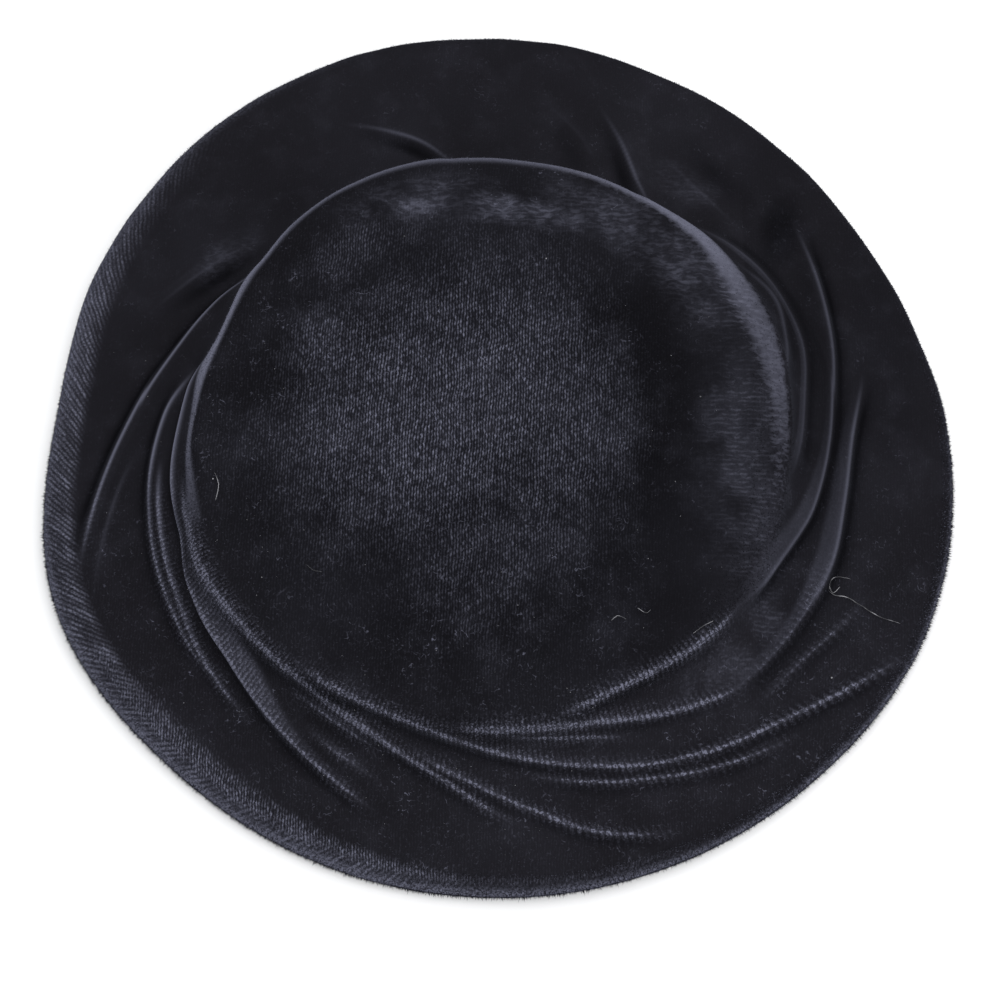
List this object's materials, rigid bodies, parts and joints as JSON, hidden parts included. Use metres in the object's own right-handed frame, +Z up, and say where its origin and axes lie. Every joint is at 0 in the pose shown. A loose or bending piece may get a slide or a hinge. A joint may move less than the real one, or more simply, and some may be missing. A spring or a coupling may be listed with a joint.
{
  "type": "saucer hat",
  "caption": "Shallow round velvet saucer hat: a flat hollow crown, and a broad brim draped in folds that wind up to the crown's edge and turned down at its hem.",
  "frame": {"origin": "middle of the box at the level of the hem, where the hat rests on a table", "axes": "+Z up through the crown, -Y towards the side with the most folds, which is nearest the eye in the picture, +X to its right"},
  "size_m": [0.2906, 0.2948, 0.0395],
  "materials": {
    "velvet": "navy-black silk velvet, worn and laid flat in places"
  },
  "bodies": {
    "root": {"crown": "velvet", "brim": "velvet"}
  },
  "joints": []
}
